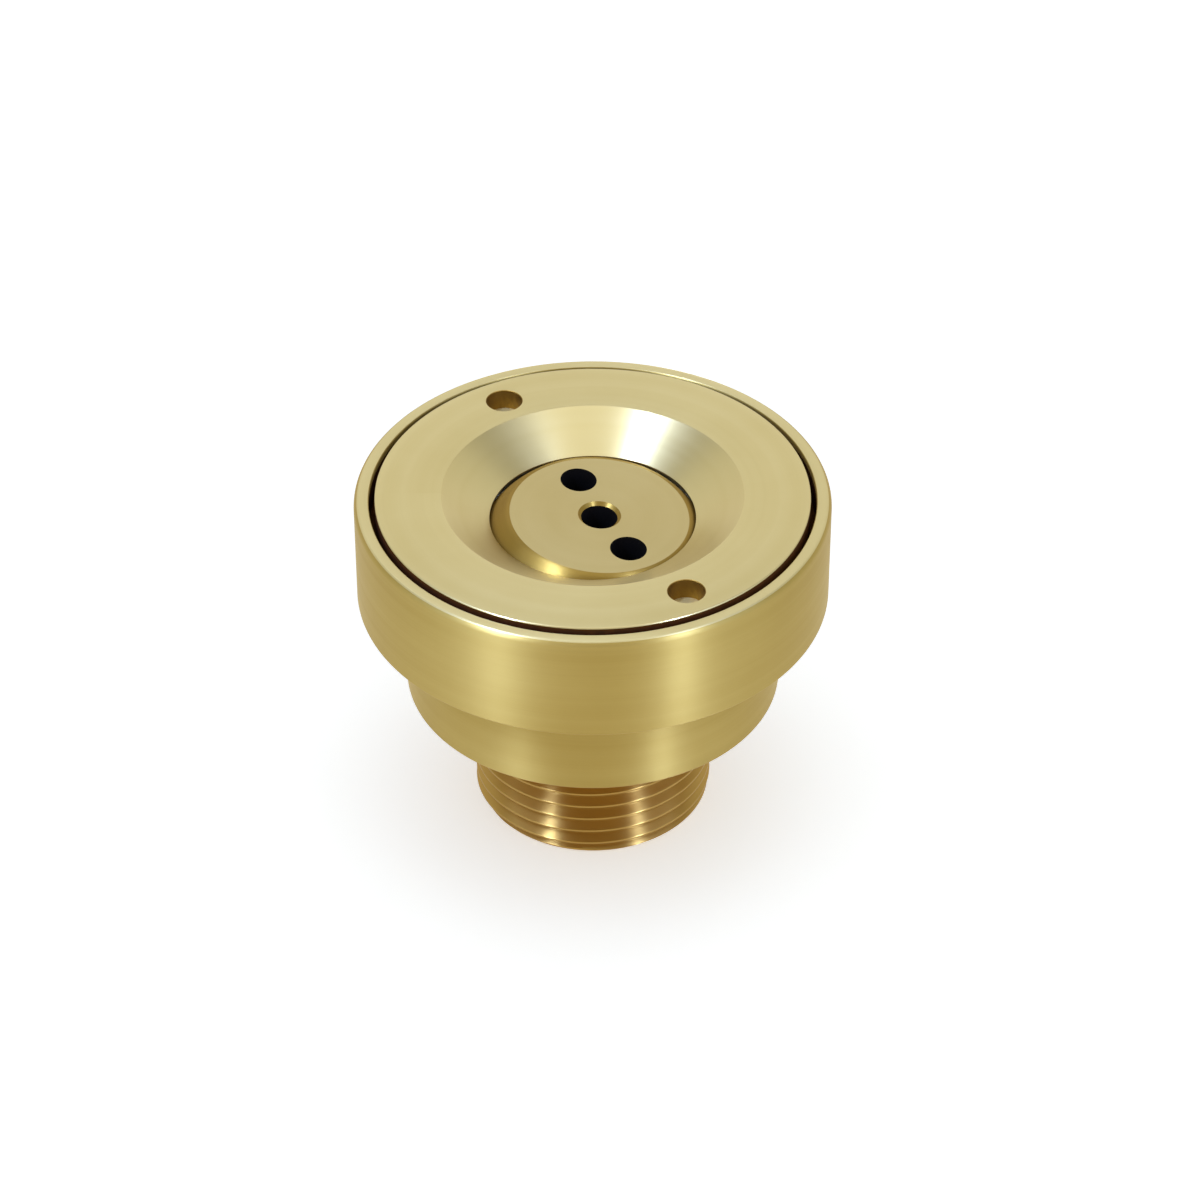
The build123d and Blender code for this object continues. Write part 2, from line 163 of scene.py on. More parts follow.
class HeadFinish(bpy.types.PropertyGroup):
    """Colours, as sRGB hex, and how rough each finish is."""

    # The brass colours are one brass whose tone is painted per surface for how light falls on it. Faces that look up
    # are painted paler, as light. The sides, thread, ball's round side and hole walls are painted darker, as shade.
    side_brass: StringProperty(name="Side brass", description="Turned sides of the body", default="#BCA158")
    # Painted light: paler colour for faces that look up.
    faced_painted_light: StringProperty(name="Faced brass", description="Flat faces of body and ring", default="#D9C98F")
    dish_brass: StringProperty(name="Dish brass", description="Turned dish of the ring", default="#CEBD86")
    ball_brass: StringProperty(name="Ball brass", description="Flat face of the ball", default="#CDBA80")
    # Painted shade: darker gold for the ball's side down in the mouth.
    sphere_painted_shade: StringProperty(name="Sphere brass", description="Round side of the ball", default="#AC8D44")
    # Painted shade: darker colour for the thread under the head.
    thread_painted_shade: StringProperty(name="Thread brass", description="Cut flanks of the thread", default="#B38F4A")
    # Painted shade: darker brown for the walls inside the spanner holes.
    hole_wall_painted_shade: StringProperty(name="Drilled brass", description="Walls of the spanner holes", default="#94702F")
    # Painted shade: near black for the dark inside the ports.
    bore_painted_shade: StringProperty(name="Bore black", description="Walls of the ports, painted near black as shade", default="#0B0805")
    # Painted shade: dark brown for the walls down in the gap round the ring.
    gap_painted_shade: StringProperty(name="Gap brass", description="Walls between rim and ring, painted dark as shade", default="#4A2E0A")
    inner_brass: StringProperty(name="Inner brass", description="Machined brass inside", default="#BFA055")
    steel: StringProperty(name="Stainless steel", description="Springs, screen and snap ring", default="#BDBBB6")
    ptfe: StringProperty(name="PTFE", description="Turned ball seats", default="#E9E8E1")
    acetal: StringProperty(name="Acetal", description="Moulded cartridge sleeve", default="#E0DCCB")
    nitrile: StringProperty(name="Nitrile rubber", description="Moulded seals", default="#17171A")
    brass_roughness: FloatProperty(name="Brass roughness", description="Satin of the turned brass",
                                   default=0.47, min=0.0, max=1.0, subtype="FACTOR")
    turned_grain: FloatProperty(name="Turning grain", description="How much turning marks stretch a highlight",
                                default=0.92, min=0.0, max=1.0, subtype="FACTOR")
    faced_grain: FloatProperty(name="Facing grain", description="How much facing marks stretch a highlight",
                               default=0.25, min=0.0, max=1.0, subtype="FACTOR")
    mark_width: length("Mark width", "Width of a turning mark", 0.24)


class StudioSizes(bpy.types.PropertyGroup):
    """Camera and lamps."""

    lens: FloatProperty(name="Lens", description="Focal length of the camera in millimetres", default=128.64)
    camera_back: length("Camera distance", "Camera in front of the head's axis", 468.29)
    camera_up: length("Camera height", "Camera above the floor", 397.64)
    camera_dip: FloatProperty(name="Camera dip", description="How far the camera looks down",
                              default=radians(37.938), subtype="ANGLE")
    camera_yaw: FloatProperty(name="Camera yaw", description="How far the camera looks to the left",
                              default=radians(-0.121), subtype="ANGLE")
    left_power: FloatProperty(name="Left lamp", description="Power of the left strip lamp in watts", default=14.5)
    right_power: FloatProperty(name="Right lamp", description="Power of the right strip lamp in watts", default=8.8)
    wide_power: FloatProperty(name="Wide lamps", description="Power of each wide side lamp in watts", default=1.8)
    strip_colour: StringProperty(name="Strip colour", description="Cool white of the side lamps", default="#A8C0FF")
    top_power: FloatProperty(name="Top lamp", description="Power of the overhead lamp in watts", default=3.0)
    top_colour: StringProperty(name="Top colour", description="Cool white of the overhead lamp", default="#ECF3FF")
    side_light: StringProperty(name="Side light", description="Cool white that metal mirrors from both sides",
                               default="#EAF5FF")
    floor_lift: FloatProperty(name="Floor lift", description="Extra white of the floor as it is seen or mirrored",
                              default=0.46)
    ambient: FloatProperty(name="Ambient", description="Strength of the white surroundings on matt surfaces",
                           default=0.64)


# --- Mesh helpers ---------------------------------------------------------------------------------
def rounded(outline, steps=6):
    """The outline's points, with each corner that has a third value, its round, drawn as an arc."""
    points = []
    for i, corner in enumerate(outline):
        here = Vector(corner[:2])
        if len(corner) == 2:
            points.append(here)
            continue
        back = (Vector(outline[i - 1][:2]) - here).normalized()
        ahead = (Vector(outline[(i + 1) % len(outline)][:2]) - here).normalized()
        half = back.angle(ahead) / 2
        centre = here + (back + ahead).normalized() * (corner[2] / sin(half))
        start = here + back * (corner[2] / tan(half)) - centre
        turn = pi - 2 * half
        if back.x * ahead.y - back.y * ahead.x > 0:
            turn = -turn
        for k in range(steps + 1):
            points.append(centre + Matrix.Rotation(turn * k / steps, 2) @ start)
    return points


def arc(radius, start, end, steps, centre=(0.0, 0.0)):
    """Points on an arc. Angles are from straight up, outwards."""
    turns = [start + (end - start) * k / steps for k in range(steps + 1)]
    return [(centre[0] + radius * sin(t), centre[1] + radius * cos(t)) for t in turns]


def finished_mesh(name, bm, crease=radians(32)):
    """Turns bmesh data into a smooth-shaded mesh with sharp edges over the crease angle."""
    bmesh.ops.remove_doubles(bm, verts=bm.verts, dist=1e-7)
    bmesh.ops.recalc_face_normals(bm, faces=bm.faces)
    mesh = bpy.data.meshes.new(name)
    bm.to_mesh(mesh)
    bm.free()
    mesh.shade_smooth()
    mesh.set_sharp_from_angle(angle=crease)
    return mesh


def turned(name, outline, segments=288, steps=6):
    """A lathe mesh of a closed outline."""
    points = rounded(outline, steps)
    bm = bmesh.new()
    columns = []
    for i in range(segments):
        turn = 2 * pi * i / segments
        columns.append([bm.verts.new((r * cos(turn), r * sin(turn), z)) for r, z in points])
    for i, column in enumerate(columns):
        beside = columns[(i + 1) % segments]
        for j in range(len(points)):
            k = (j + 1) % len(points)
            bm.faces.new((column[j], beside[j], beside[k], column[k]))
    return finished_mesh(name, bm)


def top_of(node):
    """Highest level of a CAD node."""
    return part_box(node)[1].z


def add_piece(name, mesh, body, replaced, materials, finish_of, place=Matrix()):
    """Puts a mesh in the scene in place of a CAD node, riding on a body. Each face takes the
    material that finish_of names from the face's centre and its normal's rise."""
    piece = bpy.data.objects.new(name, mesh)
    bpy.context.scene.collection.objects.link(piece)
    piece.matrix_world = place
    order = list(materials)
    mesh.materials.clear()
    for material in materials.values():
        mesh.materials.append(material)
    for face in mesh.polygons:
        face.material_index = order.index(finish_of(face.center, face.normal.z))
    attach(piece, body)
    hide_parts(replaced)


def cut(mesh, cutters):
    """The mesh with the cutters' meshes taken out of it."""
    scene = bpy.context.scene.collection.objects
    blank = bpy.data.objects.new("blank", mesh)
    scene.link(blank)
    tools = []
    for cutter in cutters:
        tool = bpy.data.objects.new("cutter", cutter)
        scene.link(tool)
        tools.append(tool)
        modifier = blank.modifiers.new("cut", "BOOLEAN")
        modifier.operation = "DIFFERENCE"
        modifier.solver = "EXACT"
        modifier.object = tool
    depsgraph = bpy.context.evaluated_depsgraph_get()
    result = bpy.data.meshes.new_from_object(blank.evaluated_get(depsgraph))
    for made in [blank, *tools]:
        bpy.data.objects.remove(made)
    bm = bmesh.new()
    bm.from_mesh(result)
    bpy.data.meshes.remove(result)
    return finished_mesh(mesh.name, bm)


# --- Material helpers -----------------------------------------------------------------------------
def linear(hex_colour):
    """An sRGB hex colour as linear red, green, blue and alpha."""
    parts = [int(hex_colour[i:i + 2], 16) / 255 for i in (1, 3, 5)]
    return [p / 12.92 if p <= 0.04045 else ((p + 0.055) / 1.055) ** 2.4 for p in parts] + [1.0]


def add_node(tree, kind, inputs=None, **settings):
    """Adds a node with its settings. Each named input takes a value or another node's output."""
    node = tree.nodes.new(kind)
    for name, value in settings.items():
        setattr(node, name, value)
    for name, value in (inputs or {}).items():
        if isinstance(value, bpy.types.NodeSocket):
            tree.links.new(value, node.inputs[name])
        else:
            node.inputs[name].default_value = value
    return node


def new_material(name):
    """An empty material with its output node, and its node tree."""
    material = bpy.data.materials.new(name)
    material.use_nodes = True
    tree = material.node_tree
    tree.nodes.clear()
    return material, tree, tree.nodes.new("ShaderNodeOutputMaterial")


def seen_or_mirrored(tree):
    """1 where the camera, a mirror or glass looks, and 0 for light on matt surfaces."""
    path = add_node(tree, "ShaderNodeLightPath").outputs
    direct = add_node(tree, "ShaderNodeMath", {0: path["Is Camera Ray"], 1: path["Is Glossy Ray"]}, operation="ADD")
    return add_node(tree, "ShaderNodeMath", {0: direct.outputs[0], 1: path["Is Transmission Ray"]},
                    operation="ADD", use_clamp=True).outputs[0]


def lathe_coordinates(tree):
    """Object coordinates as (radius, height, a share of the turn), in millimetres."""
    place = add_node(tree, "ShaderNodeTexCoord").outputs["Object"]
    split = add_node(tree, "ShaderNodeSeparateXYZ", {0: place})
    flat = add_node(tree, "ShaderNodeCombineXYZ", {0: split.outputs[0], 1: split.outputs[1]})
    radius = add_node(tree, "ShaderNodeVectorMath", {0: flat.outputs[0]}, operation="LENGTH")
    turn = add_node(tree, "ShaderNodeMath", {0: split.outputs[1], 1: split.outputs[0]}, operation="ARCTAN2")
    slow = add_node(tree, "ShaderNodeMath", {0: turn.outputs[0], 1: 0.00012}, operation="MULTIPLY")
    joined = add_node(tree, "ShaderNodeCombineXYZ",
                      {0: radius.outputs["Value"], 1: split.outputs[2], 2: slow.outputs[0]})
    scaled = add_node(tree, "ShaderNodeVectorMath", {0: joined.outputs[0], "Scale": 1 / MM}, operation="SCALE")
    return scaled.outputs[0], place


def turned_brass(name, colour, roughness, grain, mark_width, mark_depth=0.22):
    """Free-machining brass, turned on a lathe and left uncoated. Fine rings stretch each highlight
    across them, and slow changes of tone follow the tool's path. The rings are drawn at mark_width,
    several times coarser than real ones, so that they show."""
    material, tree, output = new_material(name)
    rings, place = lathe_coordinates(tree)
    fine = add_node(tree, "ShaderNodeTexNoise", {"Vector": rings, "Scale": MM / mark_width, "Detail": 2.0,
                                                 "Roughness": 0.6})
    # Rings of tone about 2 mm wide, and blotches about 11 mm across.
    broad = add_node(tree, "ShaderNodeTexNoise", {"Vector": rings, "Scale": 0.45, "Detail": 1.0})
    blotch = add_node(tree, "ShaderNodeTexNoise", {"Vector": place, "Scale": 90.0, "Detail": 3.0})
    tone = add_node(tree, "ShaderNodeMath", {0: broad.outputs[0], 1: blotch.outputs[0]}, operation="ADD")
    shade = add_node(tree, "ShaderNodeMapRange", {"Value": tone.outputs[0], "From Min": 0.6, "From Max": 1.4,
                                                  "To Min": 0.0, "To Max": 1.0})
    base = linear(colour)
    dull = [base[0] * 0.93, base[1] * 0.91, base[2] * 0.84, 1.0]
    mixed = add_node(tree, "ShaderNodeMix", {"Factor": shade.outputs[0], 6: dull, 7: base}, data_type="RGBA")
    gloss = add_node(tree, "ShaderNodeMapRange", {"Value": fine.outputs[0], "From Min": 0.3, "From Max": 0.7,
                                                  "To Min": roughness * 0.94, "To Max": roughness * 1.08})
    marks = add_node(tree, "ShaderNodeBump", {"Height": fine.outputs[0], "Strength": mark_depth,
                                              "Distance": 0.02 * MM})
    tangent = add_node(tree, "ShaderNodeTangent", direction_type="RADIAL", axis="Z")
    shader = add_node(tree, "ShaderNodeBsdfPrincipled", {
        "Base Color": mixed.outputs[2], "Metallic": 1.0, "Roughness": gloss.outputs[0],
        "Anisotropic": grain, "Anisotropic Rotation": 0.25,
        "Normal": marks.outputs[0], "Tangent": tangent.outputs[0]})
    tree.links.new(shader.outputs[0], output.inputs["Surface"])
    return material


def dark_painted_shade(name, colour):
    """Painted shade for a drilling or a gap, where light doesn't reach: dark brass with browner patches about 1 mm
    across. The skin is dull and mirrors almost nothing."""
    material, tree, output = new_material(name)
    place = add_node(tree, "ShaderNodeTexCoord").outputs["Object"]
    patches = add_node(tree, "ShaderNodeTexNoise", {"Vector": place, "Scale": 900.0, "Detail": 3.0})
    base = linear(colour)
    brown = [base[0] * 2.2, base[1] * 1.7, base[2] * 1.2, 1.0]
    mixed = add_node(tree, "ShaderNodeMix", {"Factor": patches.outputs[0], 6: base, 7: brown}, data_type="RGBA")
    bump = add_node(tree, "ShaderNodeBump", {"Height": patches.outputs[0], "Strength": 0.4, "Distance": 0.03 * MM})
    shader = add_node(tree, "ShaderNodeBsdfPrincipled", {
        "Base Color": mixed.outputs[2], "Roughness": 0.85, "Specular IOR Level": 0.1, "Normal": bump.outputs[0]})
    tree.links.new(shader.outputs[0], output.inputs["Surface"])
    return material


def plain_plastic(name, colour, roughness, grit):
    """Moulded or turned plastic or rubber: an uneven skin as fine as its grit, and a slight change
    of tone about every 5 mm."""
    material, tree, output = new_material(name)
    place = add_node(tree, "ShaderNodeTexCoord").outputs["Object"]
    skin = add_node(tree, "ShaderNodeTexNoise", {"Vector": place, "Scale": 1 / grit, "Detail": 3.0})
    slow = add_node(tree, "ShaderNodeTexNoise", {"Vector": place, "Scale": 200.0, "Detail": 2.0})
    base = linear(colour)
    dull = [part * 0.9 for part in base[:3]] + [1.0]
    mixed = add_node(tree, "ShaderNodeMix", {"Factor": slow.outputs[0], 6: dull, 7: base}, data_type="RGBA")
    bump = add_node(tree, "ShaderNodeBump", {"Height": skin.outputs[0], "Strength": 0.3, "Distance": 0.02 * MM})
    shader = add_node(tree, "ShaderNodeBsdfPrincipled", {
        "Base Color": mixed.outputs[2], "Roughness": roughness, "Normal": bump.outputs[0]})
    tree.links.new(shader.outputs[0], output.inputs["Surface"])
    return material


def bright_steel(name, colour, roughness):
    """Stainless steel strip and wire: bright, with a grain about 0.4 mm across, drawn coarser than
    the real one so that it shows."""
    material, tree, output = new_material(name)
    place = add_node(tree, "ShaderNodeTexCoord").outputs["Object"]
    lines = add_node(tree, "ShaderNodeTexNoise", {"Vector": place, "Scale": 2500.0, "Detail": 3.0})
    gloss = add_node(tree, "ShaderNodeMapRange", {"Value": lines.outputs[0], "From Min": 0.3, "From Max": 0.7,
                                                  "To Min": roughness - 0.06, "To Max": roughness + 0.06})
    bump = add_node(tree, "ShaderNodeBump", {"Height": lines.outputs[0], "Strength": 0.2, "Distance": 0.01 * MM})
    shader = add_node(tree, "ShaderNodeBsdfPrincipled", {
        "Base Color": linear(colour), "Metallic": 1.0, "Roughness": gloss.outputs[0], "Normal": bump.outputs[0]})
    tree.links.new(shader.outputs[0], output.inputs["Surface"])
    return material


# --- Body -----------------------------------------------------------------------------------------
def thread_profile(s):
    """One pitch of the thread as (height from the ridge's middle, radius), going up."""
    root = s.thread_radius - s.thread_depth
    foot = s.thread_crest / 2 + s.thread_depth * tan(radians(30))
    outline = [
        (root, -s.thread_pitch / 2),
        (root, -foot, s.thread_round),
        (s.thread_radius, -s.thread_crest / 2, s.thread_round),
        (s.thread_radius, s.thread_crest / 2, s.thread_round),
        (root, foot, s.thread_round),
        (root, s.thread_pitch / 2),
    ]
    points = []
    for r, z in rounded(outline, steps=3):
        if points and z - points[-1][0] > 0.3 * MM:
            last_z, last_r = points[-1]
            for k in (1, 2, 3):
                points.append((last_z + (z - last_z) * k / 4, last_r + (r - last_r) * k / 4))
        points.append((z, r))
    return points


class HEAD_OT_body(bpy.types.Operator):
    """Body with its rim, step and right-hand thread"""

    bl_idname = "head.body"
    bl_label = "Body"

    def execute(self, context):
        s = context.scene.head_sizes
        finish = context.scene.head_finish
        head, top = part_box("body")[1].x, top_of("body")
        rim_bore = head - s.rim_wall
        screwed_bore = rim_bore - s.thread_step
        carrier_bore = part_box("seat_carrier_seal")[1].x
        counterbore = top_of("retaining_ring") - s.ring_head - s.under_head
        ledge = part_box("retaining_ring")[0].z - s.under_ring
        spring_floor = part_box("wave_spring")[0].z
        cartridge_top = top_of("cartridge_sleeve")
        groove_low, groove_high = (corner.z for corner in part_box("inlet_circlip"))
        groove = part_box("inlet_circlip")[1].y + s.running_gap
        profile = thread_profile(s)
        heights = [z for z, r in profile]
        fixed = rounded([
            (s.step_radius, s.nipple_length, s.edge_break),
            (s.step_radius, s.head_foot),
            (head, s.head_foot, s.edge_break),
            (head, top, s.rim_round),
            (rim_bore, top, s.bore_round),
            (rim_bore, top - s.bore_above_gap_shade),
            (rim_bore, counterbore),
            (screwed_bore, counterbore),
            (screwed_bore, ledge),
            (carrier_bore, ledge),
            (carrier_bore, spring_floor),
            (s.pocket_radius, spring_floor),
            (s.pocket_radius, cartridge_top + s.shoulder),
            (s.shoulder_bore, cartridge_top + s.shoulder),
            (s.shoulder_bore, cartridge_top),
            (s.nipple_bore, cartridge_top),
            (s.nipple_bore, groove_high),
            (groove, groove_high),
            (groove, groove_low),
            (s.nipple_bore, groove_low),
            (s.nipple_bore, 0.0, s.inner_round),
        ])

        def radius_at(z, turn):
            """Radius of the thread at a level and a share of the turn."""
            share = (z / s.thread_pitch + s.thread_start - turn + 0.5) % 1 - 0.5
            place = share * s.thread_pitch
            k = 1
            while k < len(heights) - 1 and heights[k] < place:
                k += 1
            (z0, r0), (z1, r1) = profile[k - 1], profile[k]
            radius = r0 + (r1 - r0) * (place - z0) / (z1 - z0)
            return min(radius, s.thread_radius - s.thread_lead + z)

        # Each column is one pitch profile after another, clipped to the nipple. The last column
        # joins the first one pitch higher, which makes the thread a true helix.
        segments = 360
        per_turn = len(profile) - 1
        turns = ceil(s.nipple_length / s.thread_pitch) + 3
        rows = per_turn * turns
        bm = bmesh.new()
        columns = []
        for i in range(segments):
            turn = i / segments
            angle = 2 * pi * turn
            points = []
            for row in range(rows):
                centre = (row // per_turn - 1.5 + turn - s.thread_start) * s.thread_pitch
                z = min(max(centre + heights[row % per_turn], 0.0), s.nipple_length)
                points.append((radius_at(z, turn), z))
            points += [tuple(point) for point in fixed]
            columns.append([bm.verts.new((r * cos(angle), r * sin(angle), z)) for r, z in points])
        count = rows + len(fixed)
        for i, column in enumerate(columns):
            last = i == segments - 1
            beside = columns[(i + 1) % segments]
            for j in range(count):
                k = (j + 1) % count
                jj, kk = j, k
                if last:
                    jj = min(j + per_turn, rows - 1) if j < rows else j
                    kk = min(k + per_turn, rows - 1) if k < rows else k
                corners = (column[j], beside[jj], beside[kk], column[k])
                if len(set(corners)) > 2:
                    bm.faces.new(dict.fromkeys(corners))

        def finish_of(centre, rise):
            reach = hypot(centre.x, centre.y)
            # Painted shade: the thread takes its darker colour.
            if reach > s.thread_radius - s.thread_depth - NEAR and centre.z < s.nipple_length - HAIR:
                return "thread"
            # Painted shade: the gap's walls below the bright band.
            if screwed_bore - NEAR < reach < rim_bore + NEAR and centre.z < top - s.bore_above_gap_shade:
                return "painted_gap_shade"
            # Painted light: rim faces that look up take the paler colour, and its round a paler highlight.
            if reach > rim_bore - NEAR and rise > 0.8:
                return "faced" if rise > 0.97 else "rounded"
            return "turned"

        # The sides are satin. The flat rim and the top of its outer round are painted paler, as light, and the rim is
        # evener. The thread is painted darker, as shade, and is glossier. The walls of the gap round the ring are
        # painted dark brown, as shade.
        materials = {
            "painted_gap_shade": dark_painted_shade("tarnished brass, gap", finish.gap_painted_shade),
            "turned": turned_brass("turned brass, body", finish.side_brass, finish.brass_roughness,
                                   finish.turned_grain, finish.mark_width),
            "faced": turned_brass("faced brass, rim", finish.faced_painted_light, finish.brass_roughness,
                                  finish.faced_grain, finish.mark_width),
            "rounded": turned_brass("turned brass, rim", finish.faced_painted_light, finish.brass_roughness * RIM_SHARE,
                                    finish.turned_grain, finish.mark_width),
            "thread": turned_brass("cut brass, thread, painted shade", finish.thread_painted_shade,
                                   finish.brass_roughness * THREAD_SHARE, finish.turned_grain, finish.mark_width),
        }
        add_piece("body_turned", finished_mesh("body_turned", bm), "housing", "body",
                  materials, finish_of)
        return {"FINISHED"}


# --- Retaining ring -------------------------------------------------------------------------------
class HEAD_OT_ring(bpy.types.Operator):
    """Retaining ring with its dish, lip and two spanner holes"""

    bl_idname = "head.ring"
    bl_label = "Retaining ring"

    def execute(self, context):
        s = context.scene.head_sizes
        finish = context.scene.head_finish
        bottom, top = (corner.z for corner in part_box("retaining_ring"))
        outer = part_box("body")[1].x - s.rim_wall - s.ring_gap
        thread = outer + s.ring_gap - s.thread_step - s.running_gap
        lip = top - s.dish_depth
        seat_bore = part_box("upper_ball_seat")[1].x + s.running_gap
        seat = top_of("upper_ball_seat") + s.running_gap
        relief = sqrt(s.mouth_radius**2 + (lip - s.ball_height) ** 2)
        relief_arc = arc(relief, acos((seat - s.ball_height) / relief), acos((lip - s.ball_height) / relief),
                         16, (0.0, s.ball_height))
        seal_low, seal_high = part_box("retaining_ring_seal")
        groove = (seal_low.z + seal_high.z) / 2
        groove_half = (seal_high.z - seal_low.z) / 2 + s.running_gap
        groove_floor = thread - 2 * groove_half + s.running_gap
        outline = [
            (seat_bore, bottom, s.inner_round),
            (seat_bore, seat),
            *relief_arc,
            (s.mouth_radius, lip + s.mouth_lip),
            (s.dish_radius, top, s.dish_round),
            (outer, top, s.ring_round),
            (outer, top - s.ring_head, s.small_round),
            (thread, top - s.ring_head),
            (thread, groove + groove_half, s.small_round),
            (groove_floor, groove + groove_half),
            (groove_floor, groove - groove_half),
            (thread, groove - groove_half, s.small_round),
            (thread, bottom, s.edge_break),
        ]
        floor = top - s.spanner_depth
        edge = s.spanner_edge
        hole = [(0.0, floor), (s.spanner_hole, floor), (s.spanner_hole, top - edge),
                (s.spanner_hole + 5 * edge, top + 4 * edge), (0.0, top + 4 * edge)]
        places = [Vector((cos(turn), sin(turn), 0)) * s.spanner_circle
                  for turn in (s.spanner_turn, s.spanner_turn + pi)]
        cutters = []
        for place in places:
            cutter = turned("spanner_hole", hole, segments=64)
            cutter.transform(Matrix.Translation(place))
            cutters.append(cutter)

        def finish_of(centre, rise):
            flat = Vector((centre.x, centre.y, 0))
            reach = flat.length
            beside = min((flat - place).length for place in places)
            # Painted shade: the spanner holes' walls.
            if beside < s.spanner_hole + 2 * edge and rise < 0.95:
                return "drilled"
            # Painted light: the spanner holes' floors take the paler colour.
            if beside < s.spanner_hole:
                return "milled"
            # Painted shade: the walls in the gap round the ring.
            if reach > thread - NEAR and centre.z < top - s.ring_round:
                return "painted_gap_shade"
            # Painted light: faces that look up take the paler colour.
            return "faced" if rise > 0.95 else "turned"

        # The face is painted pale, as light, and is even. The dish is glossier, with two soft fans of light. The
        # spanner holes' walls are painted plain brown, as shade, and their floor is painted pale, as light.
        materials = {
            "faced": turned_brass("faced brass, ring", finish.faced_painted_light, finish.brass_roughness * FACED_SHARE,
                                  finish.faced_grain, finish.mark_width),
            "turned": turned_brass("turned brass, dish", finish.dish_brass, finish.brass_roughness * DISH_SHARE,
                                   finish.turned_grain * 0.7, finish.mark_width, mark_depth=0.02),
            "drilled": turned_brass("drilled brass, painted shade", finish.hole_wall_painted_shade, 0.5, 0.0, finish.mark_width),
            "milled": turned_brass("milled brass, painted light", finish.faced_painted_light, 0.65, 0.0, finish.mark_width),
            "painted_gap_shade": dark_painted_shade("tarnished brass, ring", finish.gap_painted_shade),
        }
        add_piece("retaining_ring_turned", cut(turned("retaining_ring_turned", outline), cutters), "ring",
                  "retaining_ring", materials, finish_of)
        return {"FINISHED"}


# --- Swivel ball ----------------------------------------------------------------------------------
class HEAD_OT_ball(bpy.types.Operator):
    """Swivel ball with its flat face and three ports"""

    bl_idname = "head.ball"
    bl_label = "Swivel ball"

    def execute(self, context):
        s = context.scene.head_sizes
        finish = context.scene.head_finish
        face = sqrt(s.ball_radius**2 - s.face_radius**2)
        round_height = face - s.face_round
        round_radius = sqrt((s.ball_radius - s.face_round) ** 2 - round_height**2)
        round_turn = atan2(round_radius, round_height)
        outline = [
            (s.cavity_radius, s.ball_radius * cos(s.ball_foot)),
            *arc(s.ball_radius, s.ball_foot, round_turn, 90),
            *arc(s.face_round, round_turn, 0.0, 8, (round_radius, round_height))[1:],
            (0.0, face),
            (0.0, face - s.face_plate),
            (s.cavity_radius, face - s.face_plate),
        ]
        inside, outside = face - s.face_plate - 1.25 * MM, face + 1 * MM
        chamfer = s.port_radius + s.port_chamfer
        plain = [(0.0, inside), (s.port_radius, inside), (s.port_radius, outside), (0.0, outside)]
        chamfered = [(0.0, inside), (s.port_radius, inside), (s.port_radius, face - s.port_chamfer),
                     (chamfer, face), (chamfer, outside), (0.0, outside)]
        cutters = [turned("port", chamfered, segments=96)]
        for turn in (s.back_port_turn, s.front_port_turn):
            cutter = turned("port", plain, segments=96)
            cutter.transform(Matrix.Translation((s.port_spacing * cos(turn), s.port_spacing * sin(turn), 0)))
            cutters.append(cutter)

        def finish_of(centre, rise):
            if rise > 0.9 and centre.z > face - s.port_chamfer - HAIR and hypot(centre.x, centre.y) < round_radius:
                return "faced"
            # Painted shade: the ports' walls below the chamfer are near black.
            deep = rise < 0.5 and centre.z < face - s.port_chamfer - HAIR
            return "bore" if deep and centre.length < s.ball_radius - 0.5 * MM else "turned"

        # The face is pale. The round side and the middle port's chamfer are painted a deeper gold, as shade, and the
        # ports' walls are painted near black, as shade, so the ports look black from outside.
        materials = {
            "faced": turned_brass("faced brass, ball", finish.ball_brass, finish.brass_roughness * FACED_SHARE,
                                  finish.faced_grain, finish.mark_width),
            "turned": turned_brass("turned brass, ball, painted shade", finish.sphere_painted_shade, finish.brass_roughness,
                                   finish.turned_grain, finish.mark_width),
            "bore": dark_painted_shade("black bore, painted shade", finish.bore_painted_shade),
        }
        hinge_turn = s.ball_lean_way + pi / 2
        lean = Matrix.Rotation(s.ball_lean, 4, Vector((cos(hinge_turn), sin(hinge_turn), 0)))
        add_piece("swivel_ball_turned", cut(turned("swivel_ball_turned", outline), cutters), "ball",
                  "swivel_ball", materials, finish_of,
                  Matrix.Translation((0, 0, s.ball_height)) @ lean)
        return {"FINISHED"}


# --- Inner parts ----------------------------------------------------------------------------------
class HEAD_OT_inner_parts(bpy.types.Operator):
    """Materials of the seats, seals, springs and cartridge"""

    bl_idname = "head.inner_parts"
    bl_label = "Inner parts"

    def execute(self, context):
        finish = context.scene.head_finish
        # Only the screen and the snap ring can be seen, up the inlet.
        made = {
            "brass_inner": turned_brass("machined brass, inside", finish.inner_brass, finish.brass_roughness,
                                        finish.turned_grain, finish.mark_width),
            "ptfe": plain_plastic("turned PTFE", finish.ptfe, 0.38, 0.4 * MM),
            "acetal": plain_plastic("moulded acetal", finish.acetal, 0.45, 0.25 * MM),
            "seal_rubber": plain_plastic("moulded nitrile rubber", finish.nitrile, 0.55, 0.2 * MM),
            "stainless": bright_steel("bright stainless steel", finish.steel, 0.28),
        }
        slots = {part["node"]: part["material_slot"] for part in frame["record"]["subparts"]}
        for name, node in nodes.items():
            if slots[name] in made:
                node.data.materials.clear()
                node.data.materials.append(made[slots[name]])
        return {"FINISHED"}


